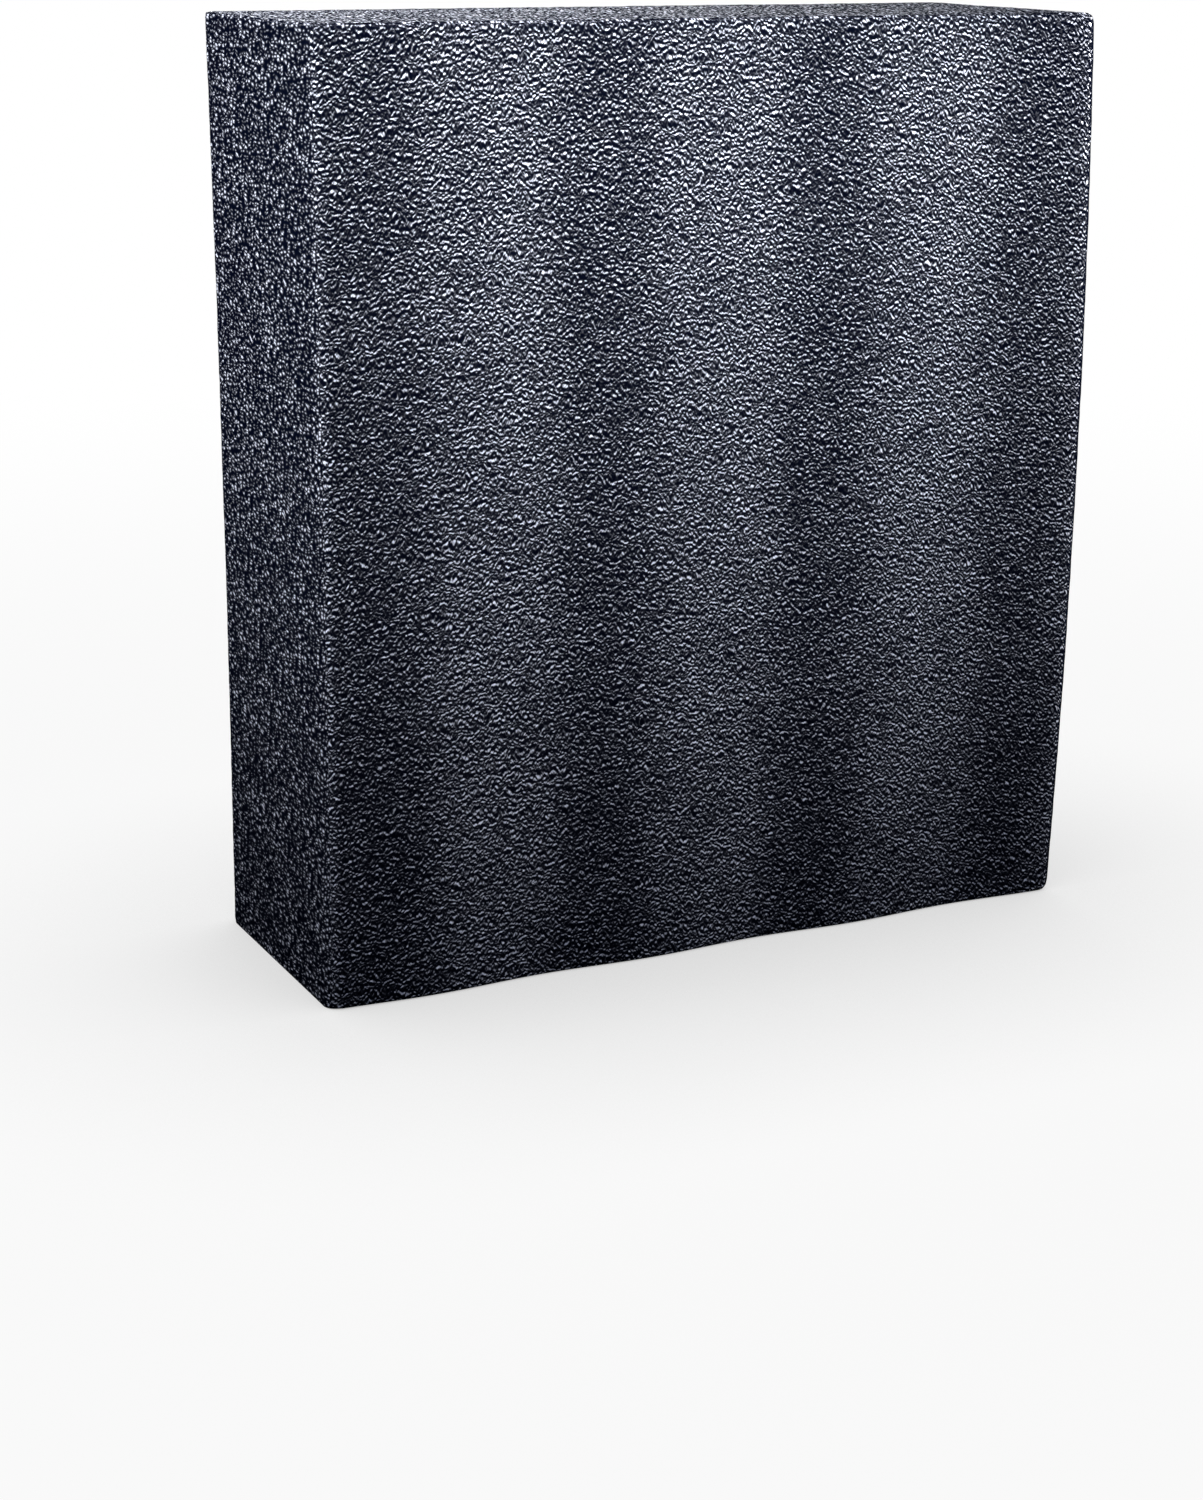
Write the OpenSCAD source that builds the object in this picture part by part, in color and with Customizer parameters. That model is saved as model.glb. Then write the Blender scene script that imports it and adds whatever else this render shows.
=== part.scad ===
// A block sawn from a plank of closed-cell foam, standing on one of its cut faces.
// X runs across the width, Y through the thickness and Z up. The origin is the
// middle of the footprint, and the front skin faces -Y.
// The front and back are the plank's own rippled skins, whose ripples run upright.
// The two sides, the foot and the top are sawn across the plank.

/* [Block] */
// Width from one sawn side to the other, where they lie farthest apart
block_width = 218; // [120:1:400]
// Thickness over the crests of the two skins
block_thickness = 76; // [40:1:150]
// Height as the block stands
block_height = 238; // [120:1:400]

/* [Rippled skins] */
// Distance from one crest of a skin to the next
ripple_pitch = 62; // [30:1:120]
// Drop from a crest to the trough beside it
ripple_drop = 1.4; // [0:0.1:3]
// Place of the middle trough of the front skin, from the block's centre line
front_trough = 13; // [-60:1:60]
// Place of the middle trough of the back skin, from the block's centre line
back_trough = -9; // [-60:1:60]

/* [Sawn faces] */
// How far the right side swells out at half height
right_swell = 2.5; // [0:0.1:4]
// How far the left side draws in at half height
left_hollow = 0.6; // [0:0.1:4]

/* [Edges] */
// Radius of the four upright edges, where a skin meets a side
upright_radius = 4.5; // [1:0.5:15]
// Radius of the skins' edges at the foot and the top
skin_end_radius = 1.5; // [0.5:0.5:15]
// Radius of the left side's edges at the foot and the top, which are nearly sharp
left_end_radius = 0.5; // [0.5:0.5:15]
// Radius of the right side's edges at the foot and the top
right_end_radius = 3; // [0.5:0.5:15]

/* [Smoothness] */
// Longest step along a skin, across its ripples
skin_step = 5; // [2:1:10]
// Longest step up the sawn sides
side_step = 25; // [10:5:60]
// Steps round each edge
edge_steps = 6; // [3:1:12]

/* [Hidden] */

foam_colour = [0.17, 0.18, 0.23];
// Radius that an upright edge keeps where the ends round over it
least_radius = 0.5;
quarter_turn = 90;
full_turn = 360;

largest_end_radius = max(skin_end_radius, left_end_radius, right_end_radius);
skin_steps = ceil(block_width / skin_step);
side_steps = ceil(block_height / side_step);

// Depth of a skin below its crests, at a place across the width.
function dip(x, trough) =
    ripple_drop * (1 + cos(full_turn * (x - trough) / ripple_pitch)) / 2;

// Share of a side's swell or hollow at a height: none at the ends, all of it at half height.
function bow(z) = 1 - pow(2 * z / block_height - 1, 2);

// Faces of the sawn sides at a height.
function left_side(z) = -block_width / 2 + left_hollow * bow(z);
function right_side(z) = block_width / 2 - right_swell * (1 - bow(z));

// How far a face draws in at a height, as its edge there rounds over.
function draw_in(z, radius) =
    let (
        from_end = max(min(z, block_height - z), 0),
        short = max(radius - from_end, 0)
    )
    radius - sqrt(radius * radius - short * short);

// One quarter circle of an upright edge, from the side's face to the skin.
// Each point is how far it lies in from the side, and in from the skin.
function edge_arc(r) = [
    for (i = [0 : edge_steps])
        let (a = quarter_turn * i / edge_steps)
        [r * (1 - cos(a)), r * (1 - sin(a))]
];

function reversed(list) = [for (i = [len(list) - 1 : -1 : 0]) list[i]];

// One skin with its two upright edges, from left to right, seen from above.
// Each point is its place across the width and its distance out from mid thickness.
function skin_line(z, trough) =
    let (
        skin_in = draw_in(z, skin_end_radius),
        r = max(upright_radius - skin_in, least_radius),
        left = left_side(z) + draw_in(z, left_end_radius),
        right = right_side(z) - draw_in(z, right_end_radius),
        reach = block_thickness / 2 - skin_in,
        flat = right - left - 2 * r,
        arc = edge_arc(r),
        line = [
            for (p = arc) [left + p[0], reach - p[1]],
            for (i = [1 : skin_steps - 1]) [left + r + flat * i / skin_steps, reach],
            for (p = reversed(arc)) [right - p[0], reach - p[1]]
        ]
    )
    [for (p = line) [p[0], p[1] - dip(p[0], trough)]];

// The whole plan outline at a height, anticlockwise from above.
function ring(z) = [
    for (p = skin_line(z, front_trough)) [p[0], -p[1], z],
    for (p = reversed(skin_line(z, back_trough))) [p[0], p[1], z]
];

// The heights of the outlines: round the foot, up the sides and round the top.
foot_heights = [
    for (i = [0 : edge_steps])
        largest_end_radius * (1 - cos(quarter_turn * i / edge_steps))
];
side_heights = [
    for (i = [1 : side_steps - 1])
        largest_end_radius + (block_height - 2 * largest_end_radius) * i / side_steps
];
top_heights = [for (z = reversed(foot_heights)) block_height - z];

// A closed skin over a stack of rings that have the same number of points.
module lofted(rings) {
    count = len(rings[0]);
    last = len(rings) - 1;
    walls = [
        for (k = [0 : last - 1], i = [0 : count - 1])
            let (
                a = k * count + i,
                b = k * count + (i + 1) % count,
                c = b + count,
                d = a + count
            )
            each [[a, c, b], [a, d, c]]
    ];
    foot = [for (i = [0 : count - 1]) i];
    top = [for (i = [count - 1 : -1 : 0]) last * count + i];
    polyhedron(
        points = [for (r = rings) each r],
        faces = concat(walls, [foot, top]),
        convexity = 4
    );
}

module foam_block() {
    color(foam_colour)
        lofted([for (z = concat(foot_heights, side_heights, top_heights)) ring(z)]);
}

foam_block();
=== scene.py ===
"""A block sawn from a plank of charcoal closed-cell foam, standing on a pale floor.

Everything is in metres, in the frame of the part: X across the width, Y through the
thickness, Z up, with the origin in the middle of the footprint.
"""
import math

import bpy
from mathutils import Matrix, Vector


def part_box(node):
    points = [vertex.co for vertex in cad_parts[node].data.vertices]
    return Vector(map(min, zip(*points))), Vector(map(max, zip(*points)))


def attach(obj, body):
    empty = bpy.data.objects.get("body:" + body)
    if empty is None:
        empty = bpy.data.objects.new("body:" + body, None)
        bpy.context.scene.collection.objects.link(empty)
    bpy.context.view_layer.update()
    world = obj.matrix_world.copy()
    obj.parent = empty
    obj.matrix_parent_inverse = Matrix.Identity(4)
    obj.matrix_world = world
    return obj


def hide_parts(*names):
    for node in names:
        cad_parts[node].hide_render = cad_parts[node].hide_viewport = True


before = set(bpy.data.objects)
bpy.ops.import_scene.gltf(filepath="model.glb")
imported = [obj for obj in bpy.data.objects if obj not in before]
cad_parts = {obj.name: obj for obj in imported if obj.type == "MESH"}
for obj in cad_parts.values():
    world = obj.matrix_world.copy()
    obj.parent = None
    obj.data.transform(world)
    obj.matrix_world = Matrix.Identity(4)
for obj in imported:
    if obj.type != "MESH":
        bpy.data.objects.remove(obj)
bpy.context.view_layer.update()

# Overall sizes of the block, from the frame
LOW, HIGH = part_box("foam_block")
WIDTH, THICKNESS, HEIGHT = HIGH - LOW

# Form of the block, as the part has it
RIPPLE_PITCH = 0.062
RIPPLE_DROP = 0.0014
FRONT_TROUGH = 0.013
BACK_TROUGH = -0.009
RIGHT_SWELL = 0.0025
LEFT_HOLLOW = 0.0006
UPRIGHT_RADIUS = 0.0045
SKIN_END_RADIUS = 0.0015
LEFT_END_RADIUS = 0.0005
RIGHT_END_RADIUS = 0.003
LEAST_END_RADIUS = 0.0003

# Fineness of the mesh
MESH_STEP = 0.00137
SEED = 4.0

# Relief that is modelled in the mesh: its depth, its grain in cells a metre, and its make-up
SKIN_RELIEF = 0.00022
SAWN_RELIEF = 0.00016
SWELL_GRAIN = 28.0
CREASE_GRAIN = 260.0
PIT_GRAIN = 240.0
SKIN_SWELLS, SKIN_CREASES = 2.2, 1.6
SAWN_SWELLS, SAWN_PITS = 2.0, 2.0
LEVEL_FOOT = 0.004  # height over which the relief fades out, down to the foot

# Parts of the surface, by how squarely it faces one way
SKIN_FACING = (0.55, 0.85)
FLAT_FACING = (0.97, 0.75)
LEVEL_FACING = (0.3, 0.1)
CUT_END_RIM = (0.0005, 0.0004)  # how far below the end the rim of its cells starts and stops

# Grain of the foam, in cells a metre: along each row, and from row to row
SKIN_GRAIN = (1270, 1230)
SAWN_GRAIN = (450, 1130)
SHEET_THICKNESS = 0.00633  # of the sheets that the plank is laminated from

# Wrinkles of the skins, drawn in the colour with painted light on their upper sides and painted
# shade on their lower sides
WRINKLE_SHIFT = 0.25  # in rows, up or down, of the two patterns whose difference they are
WRINKLE_DETAIL = 0.8
WRINKLE_GAIN = 6.5
WRINKLE_WAVER = 2.0
WRINKLE_LEAN = 50
WRINKLE_LEAN_GROWTH = 1300
WRINKLE_WRAP = 3.7  # how fast the rows widen as they run on round the upright edges
PATCH_GRAIN = 330.0
SKIN_LIMIT = (0.49, 0.51)

# Cells of the sawn faces
CELL_SCATTER = 0.95
CELL_LOT = 0.30  # how far one cell is paler or darker than another, partly as painted glints
MEAN_LOT = 0.33
CELL_GAIN = 3.5
CELL_LEVEL = 2.12
CELL_WAVER = 0.0022
CELL_WAVER_GRAIN = 300.0
CELL_LEAN = 60
CELL_WRAP = 90

# Colour of the foam, from the gaps between its cells to their walls; the near-black gaps are partly
# painted shade in the pits, and the pale walls are partly painted glints
GAP_AND_SHADE_COLOUR = (0.0007, 0.0014, 0.0052, 1)
WALL_AND_GLINT_COLOUR = (0.745, 0.78, 0.92, 1)
GRAIN_CONTRAST = 5.0
GRAIN_LEVEL = 6.2

# How far each feature is paler than the grain about it, or darker
DRIFT_GRAIN = 60.0
DRIFT_PALER = 0.4
SEAM_WIDTH = (0.80, 1.0)
SEAM_DARKER = 0.2
# Painted light on one flank of each ripple of the skins, painted shade on the other
FLANK_LIGHT_PALER = 0.22
CUT_END_PALER = 0.18
# Upright edges: painted highlight on the left ones, painted shade on the right ones, and darker
# towards the back
LEFT_EDGE_PALER = 0.2
RIGHT_EDGE_PALER = -1.2
BACK_EDGE_DARKER = 0.5

# Finish of the foam: roughness and sheen, and the fine unevenness of the cell walls
PIT_FINISH = (0.8, 0.0)
DOME_FINISH = (0.36, 0.4)
DOME_RISE = (0.3, 1.5)
SAWN_DOMES = 0.25  # share of the domes' sheen that the sawn faces have
FINE_GRAIN = 900.0
FINE_DEPTH = 0.00016
SAWN_FINE, SKIN_FINE = 4.0, 2.0

# Camera: where it stands, how it is turned, and its lens
CAMERA_PLACE = (-0.3381, -0.6497, 0.2661)
CAMERA_TURN = math.radians(-26.37)
CAMERA_DOWN = math.radians(16.87)
CAMERA_ROLL = math.radians(0.38)
FILM_LONG_SIDE = 36.0
PICTURE_LONG_SIDE = 1500
FOCAL_PIXELS = 2821

# Floor: its whiteness to the lens beside the block, and how far out it is white throughout
FLOOR_SIZE = 12.0
FLOOR_PAINT = (0.08, 0.08, 0.08, 1)
FLOOR_WHITE = 0.94
FLOOR_NEAR = 0.15
FLOOR_FAR = 0.9
SHADE_REACH = 0.12  # how far the block's soft shade lies out on the floor
SHADE_DEPTH = 0.5  # share of the shaded light that the floor loses

# Light that comes from all round, which is a little bluer than the lamps'
WORLD_LIGHT = (0.040, 0.060, 0.122, 1)
WHITE = (1.0, 1.0, 1.0, 1)


class Signal:
    """An output socket that takes part in sums, in a shader or a geometry tree."""

    def __init__(self, bench, socket):
        self.bench = bench
        self.socket = socket

    def maths(self, operation, *others):
        inputs = dict(enumerate((self, *others)))
        return self.bench.node("ShaderNodeMath", {"operation": operation}, inputs)

    def __add__(self, other):
        return self.maths("ADD", other)

    def __sub__(self, other):
        return self.maths("SUBTRACT", other)

    def __mul__(self, other):
        return self.maths("MULTIPLY", other)

    def __truediv__(self, other):
        return self.maths("DIVIDE", other)

    def __pow__(self, other):
        return self.maths("POWER", other)

    def __radd__(self, other):
        return self + other

    def __rsub__(self, other):
        return self.bench.number(other) - self

    def __rmul__(self, other):
        return self * other

    def __rtruediv__(self, other):
        return self.bench.number(other) / self

    def __rpow__(self, other):
        return self.bench.number(other) ** self

    def __neg__(self):
        return self * -1.0

    def __abs__(self):
        return self.maths("ABSOLUTE")

    def at_most(self, other):
        return self.maths("MINIMUM", other)

    def at_least(self, other):
        return self.maths("MAXIMUM", other)

    def cosine(self):
        return self.maths("COSINE")


class Bench:
    """A node tree, with one way to add any node to it."""

    def __init__(self, tree):
        self.tree = tree

    def node(self, kind, settings=None, inputs=None, output=0):
        """Adds a node: its settings first, then the values or links of its sockets."""
        made = self.tree.nodes.new(kind)
        for name, value in (settings or {}).items():
            setattr(made, name, value)
        for name, value in (inputs or {}).items():
            if isinstance(value, Signal):
                self.tree.links.new(value.socket, made.inputs[name])
            else:
                made.inputs[name].default_value = value
        return Signal(self, made.outputs[output]) if made.outputs else None

    def number(self, value):
        return self.node("ShaderNodeMath", {"operation": "ADD"}, {0: value, 1: 0.0})

    def parts(self, vector):
        split = self.node("ShaderNodeSeparateXYZ", inputs={0: vector})
        outputs = split.socket.node.outputs
        return [Signal(self, outputs[i]) for i in range(3)]

    def vector(self, x, y, z):
        return self.node("ShaderNodeCombineXYZ", inputs={0: x, 1: y, 2: z})

    def vector_maths(self, operation, *vectors):
        inputs = dict(enumerate(vectors))
        return self.node("ShaderNodeVectorMath", {"operation": operation}, inputs)

    def noise(self, vector, scale, detail=2.0, roughness=0.5):
        """Soft noise from 0 to 1, about 0.5."""
        return self.node(
            "ShaderNodeTexNoise",
            inputs={"Vector": vector, "Scale": scale, "Detail": detail, "Roughness": roughness},
        )

    def spread(self, signal, low, high, to_low=0.0, to_high=1.0):
        """A smooth step from to_low to to_high as the signal goes from low to high."""
        return self.node(
            "ShaderNodeMapRange",
            {"interpolation_type": "SMOOTHSTEP"},
            {0: signal, 1: low, 2: high, 3: to_low, 4: to_high},
        )

    def mix(self, share, a, b):
        """Mixes two colours."""
        return self.node("ShaderNodeMix", {"data_type": "RGBA"}, {0: share, 6: a, 7: b}, output=2)


def shader_bench(name):
    material = bpy.data.materials.new(name)
    material.use_nodes = True
    material.node_tree.nodes.clear()
    return material, Bench(material.node_tree)


def wrinkles_with_painted_shading(bench, u, v):
    """Long wrinkles in rows along u: how steeply a soft pattern rises along v at each place, which
    paints the upper sides of the wrinkles paler and their lower sides darker, as painted light and
    shade from above.
    """

    def pattern(v):
        # Cut askew through the noise, so that its own grid doesn't show
        askew = bench.vector(u * 0.80, u * 0.36 + v * 0.80, v * 0.60 - u * 0.48)
        return bench.noise(askew, 1.0, WRINKLE_DETAIL)

    return (pattern(v - WRINKLE_SHIFT) - pattern(v + WRINKLE_SHIFT)) * WRINKLE_GAIN


def sawn_cells(bench, u, v):
    """Round cells in rows along u, high in the middle and low between them, with a lot for each."""
    away = bench.node(
        "ShaderNodeTexVoronoi",
        {"voronoi_dimensions": "2D"},
        {"Vector": bench.vector(u, v, 0.0), "Scale": 1.0, "Randomness": CELL_SCATTER},
    )
    lot = bench.parts(Signal(bench, away.socket.node.outputs["Color"]))[0]
    return (1 - away + (lot * lot - MEAN_LOT) * CELL_LOT) * CELL_GAIN - CELL_LEVEL


def foam_grain(bench, place, skin, cut_end):
    """Rise of the grain over the whole block: wrinkles on the skins, with painted light and shade,
    and cells on the sawn faces.
    """
    x, y, z = bench.parts(place)
    patches = bench.noise(place, PATCH_GRAIN, 0.0) - 0.5

    round_x = x * (1 + (THICKNESS / 2 - abs(y)) * WRINKLE_WRAP)
    lean = round_x * WRINKLE_LEAN + x * x * WRINKLE_LEAN_GROWTH
    row = z * SKIN_GRAIN[1] + patches * WRINKLE_WAVER + lean
    on_skins = wrinkles_with_painted_shading(bench, round_x * SKIN_GRAIN[0], row)

    # On the foot and the top, the rows follow one another along X as they do up the sides
    round_y = y * (1 + (WIDTH / 2 - abs(x)) * CELL_WRAP * (1 - cut_end))
    up = z + (x - z) * cut_end
    waver = (bench.noise(place, CELL_WAVER_GRAIN, 1.0) - 0.5) * CELL_WAVER
    along = (round_y + waver) * SAWN_GRAIN[0] + z * CELL_LEAN
    on_sawn = sawn_cells(bench, along, (up + waver) * SAWN_GRAIN[1])

    share = bench.spread(skin + patches * 0.5, *SKIN_LIMIT)
    return on_sawn + (on_skins - on_sawn) * share


def sheet_seams(bench, y, skin, edge):
    """Share of the dark lines where the plank's sheets meet, on the flat of the sawn faces."""
    sheets = (y * (2 * math.pi / SHEET_THICKNESS)).cosine()
    return bench.spread(sheets, *SEAM_WIDTH) * (1 - skin) * (1 - edge)


def painted_edge_light(bench, x, y):
    """Paleness of the upright edges, which goes from left to right and from front to back: a
    painted highlight on the left edges, painted shade on the right edges, and darker towards the
    back.
    """
    across = bench.spread(x, -WIDTH / 4, WIDTH / 4, LEFT_EDGE_PALER, RIGHT_EDGE_PALER)
    return across - bench.spread(y, -THICKNESS / 4, THICKNESS / 4, 0.0, BACK_EDGE_DARKER)


def foam_material():
    """Charcoal foam: a wrinkled satin skin on the broad faces, open sawn cells elsewhere."""
    material, bench = shader_bench("charcoal_foam")
    place = bench.node("ShaderNodeTexCoord", output=3)
    skin, edge, flank_light_share = (
        bench.node("ShaderNodeAttribute", {"attribute_name": name}, output=2)
        for name in ("skin", "edge", "flank_light_share")
    )
    x, y, z = bench.parts(place)
    rim = [HEIGHT / 2 - below for below in CUT_END_RIM]
    cut_end = bench.spread(abs(z - HEIGHT / 2), *rim)

    drift = bench.noise(place, DRIFT_GRAIN, 2.0, 0.6) - 0.5
    rise = foam_grain(bench, place, skin, cut_end) + drift * DRIFT_PALER
    rise = rise - sheet_seams(bench, y, skin, edge) * SEAM_DARKER
    # Painted highlight on the left upright edges and painted shade on the right ones; the cut ends
    # paler
    rise = rise + edge * painted_edge_light(bench, x, y) + cut_end * CUT_END_PALER
    # Painted light and shade on the flanks of the skins' ripples
    rise = rise + (bench.spread(flank_light_share, 0.0, 0.7) - 0.5) * FLANK_LIGHT_PALER * skin
    # Grain colour from the gaps, partly painted shade, to the walls, partly painted glints
    pale = 2.0 ** (rise * GRAIN_CONTRAST - GRAIN_LEVEL)
    colour = bench.mix(pale / (pale + 1.0), GAP_AND_SHADE_COLOUR, WALL_AND_GLINT_COLOUR)

    fine = bench.noise(place, FINE_GRAIN, 1.0, 0.6) * (SAWN_FINE + skin * (SKIN_FINE - SAWN_FINE))
    normal = bench.node(
        "ShaderNodeBump",
        inputs={"Strength": 1.0, "Distance": FINE_DEPTH, "Height": fine},
    )

    # The pits are dull, and only the domes of the cells have a satin sheen
    pits, domes = (
        bench.node(
            "ShaderNodeBsdfPrincipled",
            inputs={
                "Base Color": colour,
                "Roughness": roughness,
                "Specular IOR Level": sheen,
                "Normal": normal,
            },
        )
        for roughness, sheen in (PIT_FINISH, DOME_FINISH)
    )
    dome = bench.spread(rise, *DOME_RISE) * (SAWN_DOMES + skin * (1 - SAWN_DOMES))
    finish = bench.node("ShaderNodeMixShader", inputs={0: dome, 1: pits, 2: domes})
    bench.node("ShaderNodeOutputMaterial", inputs={"Surface": finish})
    return material


def seen_share(bench):
    """Share of the rays that see the background white: those of the lens and of reflections."""
    rays = bench.node("ShaderNodeLightPath").socket.node.outputs
    share = Signal(bench, rays["Is Camera Ray"])
    for name in ("Is Glossy Ray", "Is Transmission Ray"):
        share = share.at_least(Signal(bench, rays[name]))
    return share


def floor_material():
    """A pale floor that keeps the block's soft shade and runs out into white."""
    material, bench = shader_bench("pale_floor")
    place = bench.node("ShaderNodeTexCoord", output=3)
    reach = bench.vector_maths("LENGTH", place)
    reach = Signal(bench, reach.socket.node.outputs["Value"])
    glow = bench.node("ShaderNodeEmission", inputs={"Color": WHITE, "Strength": 1.0})
    paint = bench.node("ShaderNodeBsdfDiffuse", inputs={"Color": FLOOR_PAINT})
    open_share = bench.node(
        "ShaderNodeAmbientOcclusion", {"samples": 4}, {"Distance": SHADE_REACH}, output=1
    )
    white = bench.spread(reach, FLOOR_NEAR, FLOOR_FAR, FLOOR_WHITE, 1.0)
    washed = seen_share(bench) * white * (1 - (1 - open_share) * SHADE_DEPTH)
    surface = bench.node("ShaderNodeMixShader", inputs={0: washed, 1: paint, 2: glow})
    bench.node("ShaderNodeOutputMaterial", inputs={"Surface": surface})
    return material


def make_floor():
    half = FLOOR_SIZE / 2
    mesh = bpy.data.meshes.new("floor")
    corners = [(-half, -half, 0), (half, -half, 0), (half, half, 0), (-half, half, 0)]
    mesh.from_pydata(corners, [], [(0, 1, 2, 3)])
    mesh.materials.append(floor_material())
    floor = bpy.data.objects.new("floor", mesh)
    bpy.context.scene.collection.objects.link(floor)


def make_world():
    world = bpy.data.worlds.new("studio")
    world.use_nodes = True
    world.node_tree.nodes.clear()
    bench = Bench(world.node_tree)
    colour = bench.mix(seen_share(bench), WORLD_LIGHT, WHITE)
    back = bench.node("ShaderNodeBackground", inputs={"Color": colour, "Strength": 1.0})
    bench.node("ShaderNodeOutputWorld", inputs={"Surface": back})
    bpy.context.scene.world = world


def aim(thing, place, target):
    """Stands a lamp at a place and turns it towards a target."""
    thing.location = place
    thing.rotation_euler = (Vector(target) - Vector(place)).to_track_quat("-Z", "Y").to_euler()


def soft_box(name, place, target, size, watts, spread):
    """A soft box with a grid, which lights what lies within its spread, in degrees."""
    lamp = bpy.data.lights.new(name, "AREA")
    lamp.shape = "RECTANGLE"
    lamp.size, lamp.size_y = size
    lamp.energy = watts
    lamp.spread = math.radians(spread)
    box = bpy.data.objects.new(name, lamp)
    box.visible_camera = False
    aim(box, place, target)
    bpy.context.scene.collection.objects.link(box)


def make_lights():
    soft_box("raking_box", (2.145, -0.378, 0.506), (0.0, 0.0, 0.28), (0.12, 0.30), 1.48, 15)
    soft_box("front_box", (-0.692, -0.692, 0.408), (0.0, 0.0, 0.33), (0.20, 0.20), 0.30, 28)
    soft_box("fill_box", (0.170, -0.963, 0.408), (0.0, 0.0, 0.29), (0.20, 0.20), 0.51, 28)
    soft_box("left_box", (-0.978, -0.034, 0.408), (0.0, 0.0, 0.20), (0.20, 0.20), 0.49, 28)
    soft_box("back_box", (0.40, 0.95, 0.45), (0.0, 0.0, 0.27), (0.60, 0.20), 0.35, 32)
    soft_box("top_box", (0.0, 0.10, 1.20), (-0.10, 0.0, HEIGHT), (0.12, 0.12), 0.20, 18)


def make_camera():
    lens = bpy.data.cameras.new("camera")
    lens.sensor_width = FILM_LONG_SIDE
    lens.lens = FILM_LONG_SIDE * FOCAL_PIXELS / PICTURE_LONG_SIDE
    lens.clip_start = 0.01
    lens.clip_end = 100.0
    camera = bpy.data.objects.new("camera", lens)
    turned = (
        Matrix.Rotation(CAMERA_TURN, 4, "Z")
        @ Matrix.Rotation(math.radians(90) - CAMERA_DOWN, 4, "X")
        @ Matrix.Rotation(CAMERA_ROLL, 4, "Z")
    )
    camera.matrix_world = Matrix.Translation(CAMERA_PLACE) @ turned
    bpy.context.scene.collection.objects.link(camera)
    bpy.context.scene.camera = camera


def block_sizes():
    """Named sizes of the block for its geometry tree."""
    return {
        "Width": WIDTH,
        "Thickness": THICKNESS,
        "Height": HEIGHT,
        "Mesh step": MESH_STEP,
        "Ripple pitch": RIPPLE_PITCH,
        "Ripple drop": RIPPLE_DROP,
        "Front trough": FRONT_TROUGH,
        "Back trough": BACK_TROUGH,
        "Right swell": RIGHT_SWELL,
        "Left hollow": LEFT_HOLLOW,
        "Upright radius": UPRIGHT_RADIUS,
        "Skin end radius": SKIN_END_RADIUS,
        "Left end radius": LEFT_END_RADIUS,
        "Right end radius": RIGHT_END_RADIUS,
        "Least end radius": LEAST_END_RADIUS,
        "Skin relief": SKIN_RELIEF,
        "Sawn relief": SAWN_RELIEF,
        "Level foot": LEVEL_FOOT,
        "Seed": SEED,
    }


def rounded_box(bench, size, place):
    """Places on a box with rounded edges, and the way out there, for places on a plain box."""
    x, y, z = bench.parts(place)
    upright = size["Upright radius"]

    # Round the upright edges: the square corner of the outline becomes a quarter of a disc
    half_x, half_y = size["Width"] / 2 - upright, size["Thickness"] / 2 - upright
    core_x = x.at_most(half_x).at_least(-half_x)
    core_y = y.at_most(half_y).at_least(-half_y)
    off_x, off_y = x - core_x, y - core_y
    reach = abs(off_x).at_least(abs(off_y))
    length = (off_x * off_x + off_y * off_y) ** 0.5
    out_x, out_y = off_x / length, off_y / length

    # Round the ends, with a radius of its own for each side
    to_left, to_right = (-out_x).at_least(0.0), out_x.at_least(0.0)
    radius = size["Skin end radius"] * out_y * out_y
    radius = radius + size["Left end radius"] * to_left * to_left
    radius = radius + size["Right end radius"] * to_right * to_right
    radius = radius.at_least(size["Least end radius"])
    from_rim, from_end = upright - reach, size["Height"] / 2 - abs(z)
    aside, along = (radius - from_rim).at_least(0.0), (radius - from_end).at_least(0.0)
    slant = (aside * aside + along * along) ** 0.5
    level, rise = aside / slant, along / slant
    new_reach = upright - from_rim.at_least(radius) + radius * level
    new_end = from_end.at_least(radius) - radius * rise
    place = [
        core_x + out_x * new_reach,
        core_y + out_y * new_reach,
        z.maths("SIGN") * (size["Height"] / 2 - new_end),
    ]
    return place, [out_x * level, out_y * level, z.maths("SIGN") * rise]


def rippled(size, x, y, z):
    """Adds the ripples of both skins, the right side's swell and the left side's hollow."""

    def dip(trough):
        turn = (x - trough) * (2 * math.pi) / size["Ripple pitch"]
        return size["Ripple drop"] * (1 + turn.cosine()) / 2

    share_back = 0.5 + y / size["Thickness"]
    front, back = dip(size["Front trough"]), dip(size["Back trough"])
    new_y = y + front * (1 - share_back) - back * share_back
    bow = 1 - (2 * z / size["Height"]) ** 2
    share_right = 0.5 + x / size["Width"]
    drawn_in = size["Left hollow"] * bow * (1 - share_right)
    new_x = x + drawn_in - size["Right swell"] * (1 - bow) * share_right
    return new_x, new_y, z + size["Height"] / 2


def painted_flank_bands(size, x, y):
    """Upright bands of painted light on the skins, from 0 on one flank of each ripple to 1 on the
    other: the material paints the one flank paler and the other darker.
    """

    def flank(trough):
        turn = (x - trough) * (2 * math.pi) / size["Ripple pitch"]
        return 0.5 - 0.5 * turn.maths("SINE")

    share_back = (0.5 + y / size["Thickness"]).at_least(0.0).at_most(1.0)
    front, back = flank(size["Front trough"]), flank(size["Back trough"])
    return front + (back - front) * share_back


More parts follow.
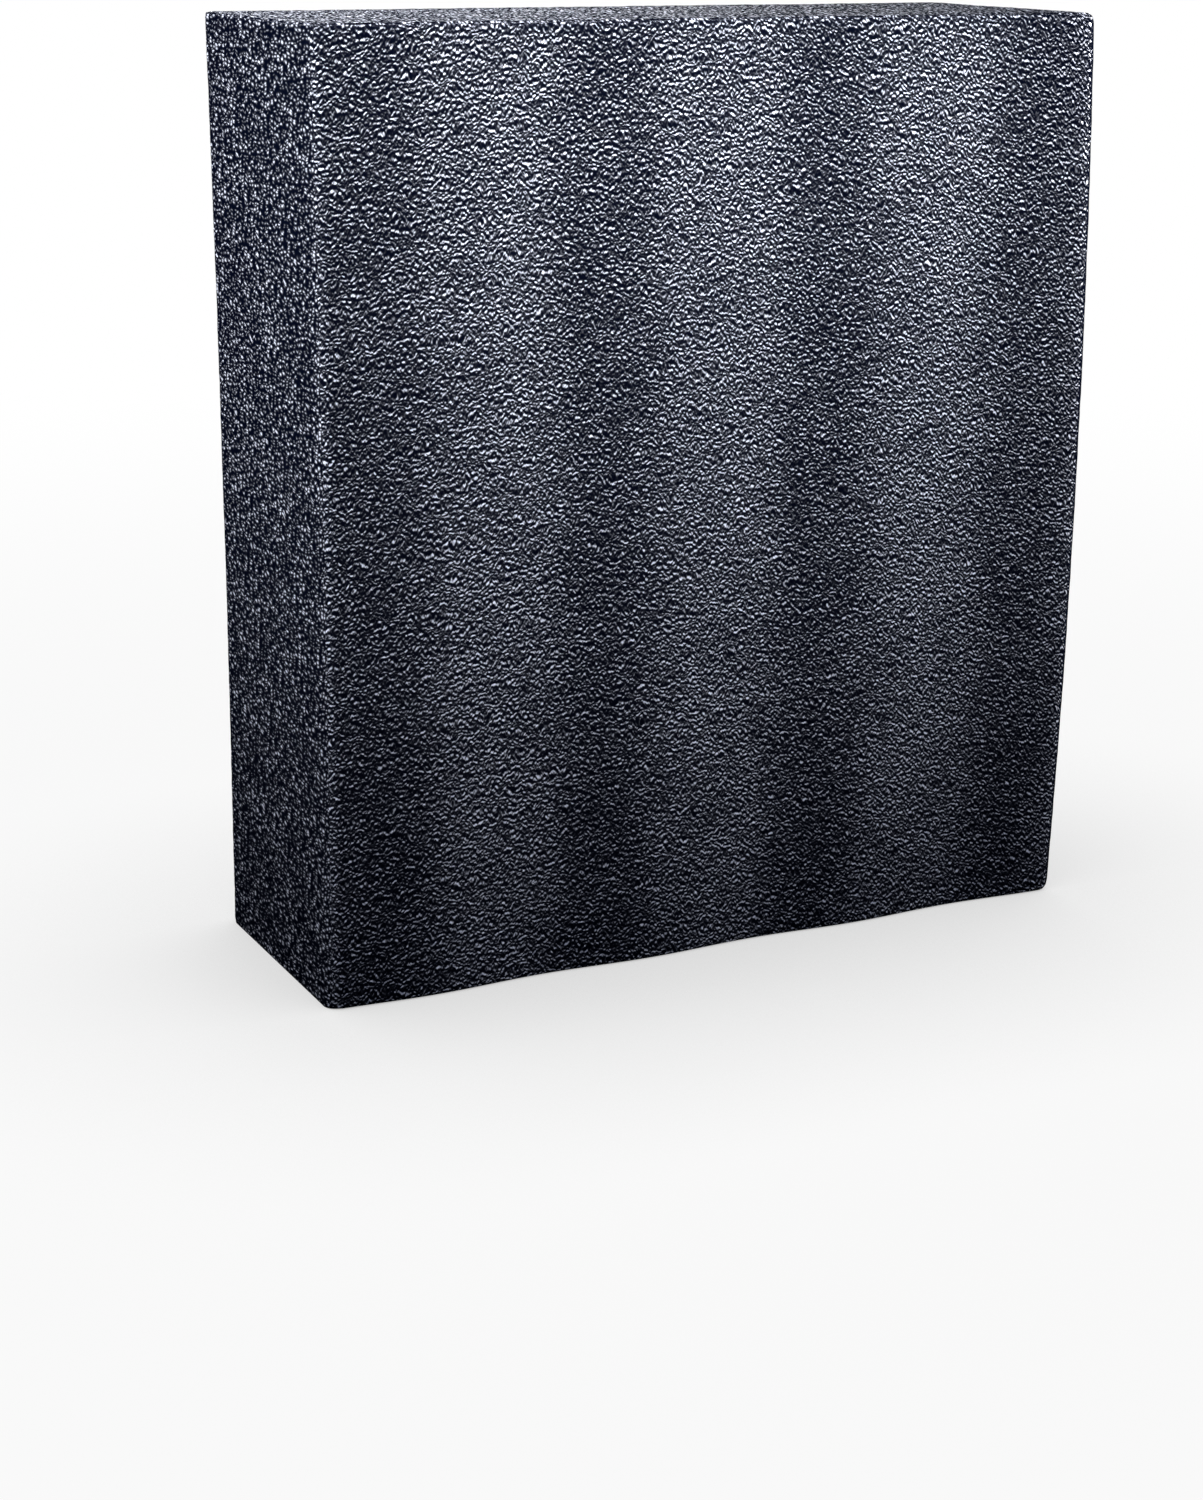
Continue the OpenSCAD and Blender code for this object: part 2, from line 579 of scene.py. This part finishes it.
def relief(bench, size, skin):
    """Height of the surface's own relief: swells and creases on the skins, pits elsewhere."""
    place = bench.node("GeometryNodeInputPosition")
    seed = size["Seed"]
    moved = bench.vector_maths("ADD", place, bench.vector(seed, seed, seed))
    x, y, z = bench.parts(moved)
    swells = bench.noise(moved, SWELL_GRAIN) - 0.5
    creases = bench.noise(bench.vector(x * 0.5, y, z), CREASE_GRAIN, 2.0, 0.6) - 0.5
    on_skin = (swells * SKIN_SWELLS + creases * SKIN_CREASES) * size["Skin relief"]
    pits = bench.noise(moved, PIT_GRAIN, 2.0, 0.6) - 0.5
    on_sawn = (swells * SAWN_SWELLS + pits * SAWN_PITS) * size["Sawn relief"]
    kept = bench.spread(z - seed, 0.0, size["Level foot"])
    return (on_sawn + (on_skin - on_sawn) * skin) * kept


def block_tree(material, sizes):
    """Geometry tree of the foam block: a fine box, rounded, rippled and given its relief."""
    tree = bpy.data.node_groups.new("foam_block_form", "GeometryNodeTree")
    tree.interface.new_socket("Geometry", in_out="OUTPUT", socket_type="NodeSocketGeometry")
    for name, value in sizes.items():
        socket = tree.interface.new_socket(name, in_out="INPUT", socket_type="NodeSocketFloat")
        socket.default_value = value
    bench = Bench(tree)
    entry = tree.nodes.new("NodeGroupInput")
    size = {name: Signal(bench, entry.outputs[name]) for name in sizes}

    across = [size["Width"], size["Thickness"], size["Height"]]
    counts = [(side / size["Mesh step"]).maths("ROUND") + 1 for side in across]
    box = bench.node(
        "GeometryNodeMeshCube",
        inputs={
            "Size": bench.vector(*across),
            "Vertices X": counts[0],
            "Vertices Y": counts[1],
            "Vertices Z": counts[2],
        },
    )
    plain = bench.node("GeometryNodeInputPosition")
    (x, y, z), way = rounded_box(bench, size, plain)

    # Skins, upright edges, and the bands of painted light on the ripples' flanks, marked for the
    # material
    squarest = abs(way[0]).at_least(abs(way[1])).at_least(abs(way[2]))
    marks = {
        "skin": bench.spread(abs(way[1]), *SKIN_FACING),
        "edge": bench.spread(squarest, *FLAT_FACING) * bench.spread(abs(way[2]), *LEVEL_FACING),
        "flank_light_share": painted_flank_bands(size, x, y),
    }
    shape = box
    for name, value in marks.items():
        shape = bench.node(
            "GeometryNodeStoreNamedAttribute",
            {"data_type": "FLOAT", "domain": "POINT"},
            {"Geometry": shape, "Name": name, "Value": value},
        )
    shape = bench.node(
        "GeometryNodeSetPosition",
        inputs={"Geometry": shape, "Position": bench.vector(*rippled(size, x, y, z))},
    )
    skin = bench.node(
        "GeometryNodeInputNamedAttribute", {"data_type": "FLOAT"}, {"Name": "skin"}
    )
    outward = bench.node("GeometryNodeInputNormal")
    lift = bench.node(
        "ShaderNodeVectorMath",
        {"operation": "SCALE"},
        {"Vector": outward, "Scale": relief(bench, size, skin)},
    )
    shape = bench.node("GeometryNodeSetPosition", inputs={"Geometry": shape, "Offset": lift})
    shape = bench.node("GeometryNodeSetShadeSmooth", inputs={"Geometry": shape})
    shape = bench.node("GeometryNodeRealizeInstances", inputs={"Geometry": shape})
    shape = bench.node(
        "GeometryNodeSetMaterial", inputs={"Geometry": shape, "Material": material}
    )
    leave = tree.nodes.new("NodeGroupOutput")
    tree.links.new(shape.socket, leave.inputs[0])
    return tree


def make_block():
    tree = block_tree(foam_material(), block_sizes())
    blank = bpy.data.objects.new("foam_form", bpy.data.meshes.new("foam_form"))
    bpy.context.scene.collection.objects.link(blank)
    blank.modifiers.new("form", "NODES").node_group = tree
    settled = blank.evaluated_get(bpy.context.evaluated_depsgraph_get())
    mesh = bpy.data.meshes.new_from_object(settled)
    bpy.data.objects.remove(blank)
    mesh.name = "foam"
    foam = bpy.data.objects.new("foam", mesh)
    bpy.context.scene.collection.objects.link(foam)
    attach(foam, "root")
    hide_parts("foam_block")


make_camera()
make_world()
make_lights()
make_floor()
make_block()

bpy.context.scene.view_settings.view_transform = "Standard"
